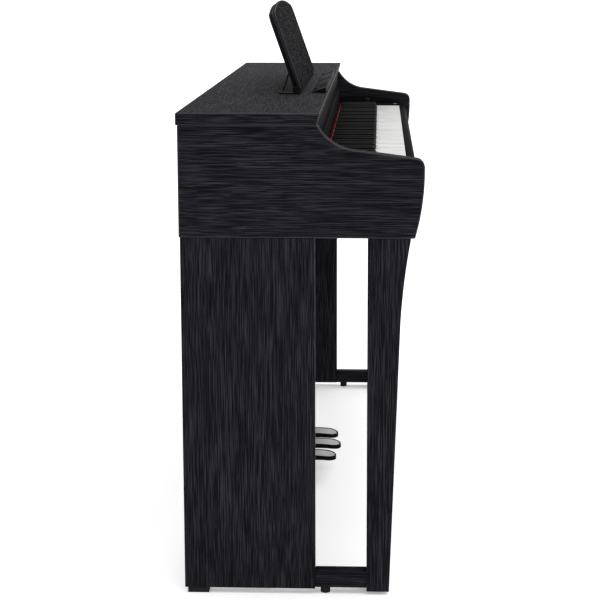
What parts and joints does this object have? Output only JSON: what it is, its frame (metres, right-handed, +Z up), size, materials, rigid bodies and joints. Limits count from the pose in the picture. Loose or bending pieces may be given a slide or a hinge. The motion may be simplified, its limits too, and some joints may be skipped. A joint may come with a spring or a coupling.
{
  "type": "digital piano on stand",
  "caption": "Home digital piano: keyboard case with sliding key cover, folding music rest and pedals, on a stand of side boards and front legs.",
  "frame": {"origin": "on the floor, at the middle of the outline's width and depth", "axes": "+X to the player's right, +Y from the player to the back, +Z up"},
  "size_m": [1.362, 0.422, 1.0256],
  "materials": {
    "laminate_black": "satin wood-grain laminate",
    "plastic_black": "fine moulded texture",
    "plastic_inside": "moulded",
    "key_white": "polished",
    "key_black": "satin",
    "felt_red": "pressed felt",
    "pedal_metal": "polished",
    "steel": "plated",
    "board_green": "lacquered",
    "rubber_grey": "matt"
  },
  "bodies": {
    "case": {"top_board": "laminate_black", "left_arm": "laminate_black", "right_arm": "laminate_black", "key_bed": "laminate_black", "cabinet_back": "laminate_black", "key_slip": "plastic_black", "name_rail": "plastic_black", "felt_strip": "felt_red", "valance": "plastic_black", "left_key_block": "plastic_black", "right_key_block": "plastic_black", "music_rest_base": "plastic_black", "music_ledge": "plastic_black", "left_side_board": "laminate_black", "right_side_board": "laminate_black", "left_front_leg": "laminate_black", "right_front_leg": "laminate_black", "left_toe_bar": "laminate_black", "right_toe_bar": "laminate_black", "stand_back_board": "laminate_black", "pedal_board": "laminate_black", "pedal_housing": "steel", "pedal_pin": "steel", "pedal_springs": "steel", "glide_feet": "rubber_grey", "action_chassis": "plastic_inside", "contact_board": "board_green", "left_speaker": "steel", "right_speaker": "steel", "main_board": "board_green", "headphone_box": "plastic_black", "inlet_panel": "plastic_black", "corner_brackets": "steel", "assembly_bolts": "steel"},
    "key_cover": {"key_cover": "laminate_black", "key_cover_lip": "plastic_black"},
    "music_rest": {"music_rest_panel": "laminate_black", "music_rest_back": "plastic_black", "prop_pin": "steel"},
    "rest_prop": {"music_rest_prop": "plastic_black"},
    "left_page_holder": {"left_page_holder": "plastic_black"},
    "right_page_holder": {"right_page_holder": "plastic_black"},
    "volume_knob": {"volume_knob": "plastic_black"},
    "power_button": {"power_button": "plastic_black"},
    "pedal_adjuster": {"pedal_adjuster": "rubber_grey"},
    "soft_pedal": {"soft_pedal": "pedal_metal"},
    "sostenuto_pedal": {"sostenuto_pedal": "pedal_metal"},
    "damper_pedal": {"damper_pedal": "pedal_metal"},
    "keys_c": {"keys_c": "key_white"},
    "keys_c_sharp": {"keys_c_sharp": "key_black"},
    "keys_d": {"keys_d": "key_white"},
    "keys_d_sharp": {"keys_d_sharp": "key_black"},
    "keys_e": {"keys_e": "key_white"},
    "keys_f": {"keys_f": "key_white"},
    "keys_f_sharp": {"keys_f_sharp": "key_black"},
    "keys_g": {"keys_g": "key_white"},
    "keys_g_sharp": {"keys_g_sharp": "key_black"},
    "keys_a": {"keys_a": "key_white"},
    "keys_a_sharp": {"keys_a_sharp": "key_black"},
    "keys_b": {"keys_b": "key_white"}
  },
  "joints": [
    {"name": "key_cover_slide", "type": "slide", "parent": "case", "child": "key_cover", "axis": [0, -0.9917, -0.1288], "range_m": [0, 0.165]},
    {"name": "music_rest_fold", "type": "hinge", "parent": "case", "child": "music_rest", "pos_m": [0, 0.0288, 0.86078], "axis": [-1, 0, 0], "range_deg": [0, 70]},
    {"name": "rest_prop_fold", "type": "hinge", "parent": "music_rest", "child": "rest_prop", "pos_m": [0, 0.04195, 0.89379], "axis": [1, 0, 0], "range_deg": [0, 140]},
    {"name": "left_page_holder_lift", "type": "hinge", "parent": "case", "child": "left_page_holder", "pos_m": [-0.201, -0.024, 0.857], "axis": [1, 0, 0], "range_deg": [0, 95]},
    {"name": "right_page_holder_lift", "type": "hinge", "parent": "case", "child": "right_page_holder", "pos_m": [0.201, -0.024, 0.857], "axis": [1, 0, 0], "range_deg": [0, 95]},
    {"name": "volume_turn", "type": "hinge", "parent": "case", "child": "volume_knob", "pos_m": [0.6245, -0.101, 0.76], "axis": [0, 0, 1], "range_deg": [-150, 150]},
    {"name": "power_press", "type": "slide", "parent": "case", "child": "power_button", "axis": [0, 0, -1], "range_m": [0, 0.0015], "stiffness_N_per_m": 400, "springref_m": -0.0015},
    {"name": "adjuster_turn", "type": "hinge", "parent": "case", "child": "pedal_adjuster", "pos_m": [0, 0.0625, 0.01], "axis": [0, 0, 1], "continuous": true},
    {"name": "soft_pedal_press", "type": "hinge", "parent": "case", "child": "soft_pedal", "pos_m": [-0.078, 0.1, 0.057], "axis": [1, 0, 0], "range_deg": [0, 8], "stiffness_Nm_per_rad": 12, "springref_deg": -8.59, "deforming": ["pedal_springs"]},
    {"name": "sostenuto_pedal_press", "type": "hinge", "parent": "case", "child": "sostenuto_pedal", "pos_m": [0, 0.1, 0.057], "axis": [1, 0, 0], "range_deg": [0, 8], "stiffness_Nm_per_rad": 12, "springref_deg": -8.59, "deforming": ["pedal_springs"]},
    {"name": "damper_pedal_press", "type": "hinge", "parent": "case", "child": "damper_pedal", "pos_m": [0.078, 0.1, 0.057], "axis": [1, 0, 0], "range_deg": [0, 8], "stiffness_Nm_per_rad": 12, "springref_deg": -8.59, "deforming": ["pedal_springs"]},
    {"name": "keys_c_press", "type": "hinge", "parent": "case", "child": "keys_c", "pos_m": [0, 0.06, 0.735], "axis": [1, 0, 0], "range_deg": [0, 2.4], "stiffness_Nm_per_rad": 60, "springref_deg": -17.19},
    {"name": "keys_c_sharp_press", "type": "hinge", "parent": "case", "child": "keys_c_sharp", "pos_m": [0, 0.06, 0.735], "axis": [1, 0, 0], "range_deg": [0, 2.4], "stiffness_Nm_per_rad": 60, "springref_deg": -17.19},
    {"name": "keys_d_press", "type": "hinge", "parent": "case", "child": "keys_d", "pos_m": [0, 0.06, 0.735], "axis": [1, 0, 0], "range_deg": [0, 2.4], "stiffness_Nm_per_rad": 60, "springref_deg": -17.19},
    {"name": "keys_d_sharp_press", "type": "hinge", "parent": "case", "child": "keys_d_sharp", "pos_m": [0, 0.06, 0.735], "axis": [1, 0, 0], "range_deg": [0, 2.4], "stiffness_Nm_per_rad": 60, "springref_deg": -17.19},
    {"name": "keys_e_press", "type": "hinge", "parent": "case", "child": "keys_e", "pos_m": [0, 0.06, 0.735], "axis": [1, 0, 0], "range_deg": [0, 2.4], "stiffness_Nm_per_rad": 60, "springref_deg": -17.19},
    {"name": "keys_f_press", "type": "hinge", "parent": "case", "child": "keys_f", "pos_m": [0, 0.06, 0.735], "axis": [1, 0, 0], "range_deg": [0, 2.4], "stiffness_Nm_per_rad": 60, "springref_deg": -17.19},
    {"name": "keys_f_sharp_press", "type": "hinge", "parent": "case", "child": "keys_f_sharp", "pos_m": [0, 0.06, 0.735], "axis": [1, 0, 0], "range_deg": [0, 2.4], "stiffness_Nm_per_rad": 60, "springref_deg": -17.19},
    {"name": "keys_g_press", "type": "hinge", "parent": "case", "child": "keys_g", "pos_m": [0, 0.06, 0.735], "axis": [1, 0, 0], "range_deg": [0, 2.4], "stiffness_Nm_per_rad": 60, "springref_deg": -17.19},
    {"name": "keys_g_sharp_press", "type": "hinge", "parent": "case", "child": "keys_g_sharp", "pos_m": [0, 0.06, 0.735], "axis": [1, 0, 0], "range_deg": [0, 2.4], "stiffness_Nm_per_rad": 60, "springref_deg": -17.19},
    {"name": "keys_a_press", "type": "hinge", "parent": "case", "child": "keys_a", "pos_m": [0, 0.06, 0.735], "axis": [1, 0, 0], "range_deg": [0, 2.4], "stiffness_Nm_per_rad": 60, "springref_deg": -17.19},
    {"name": "keys_a_sharp_press", "type": "hinge", "parent": "case", "child": "keys_a_sharp", "pos_m": [0, 0.06, 0.735], "axis": [1, 0, 0], "range_deg": [0, 2.4], "stiffness_Nm_per_rad": 60, "springref_deg": -17.19},
    {"name": "keys_b_press", "type": "hinge", "parent": "case", "child": "keys_b", "pos_m": [0, 0.06, 0.735], "axis": [1, 0, 0], "range_deg": [0, 2.4], "stiffness_Nm_per_rad": 60, "springref_deg": -17.19}
  ],
  "couplings": [
    {"joint": "rest_prop_fold", "follows": "music_rest_fold", "ratio": 2}
  ]
}
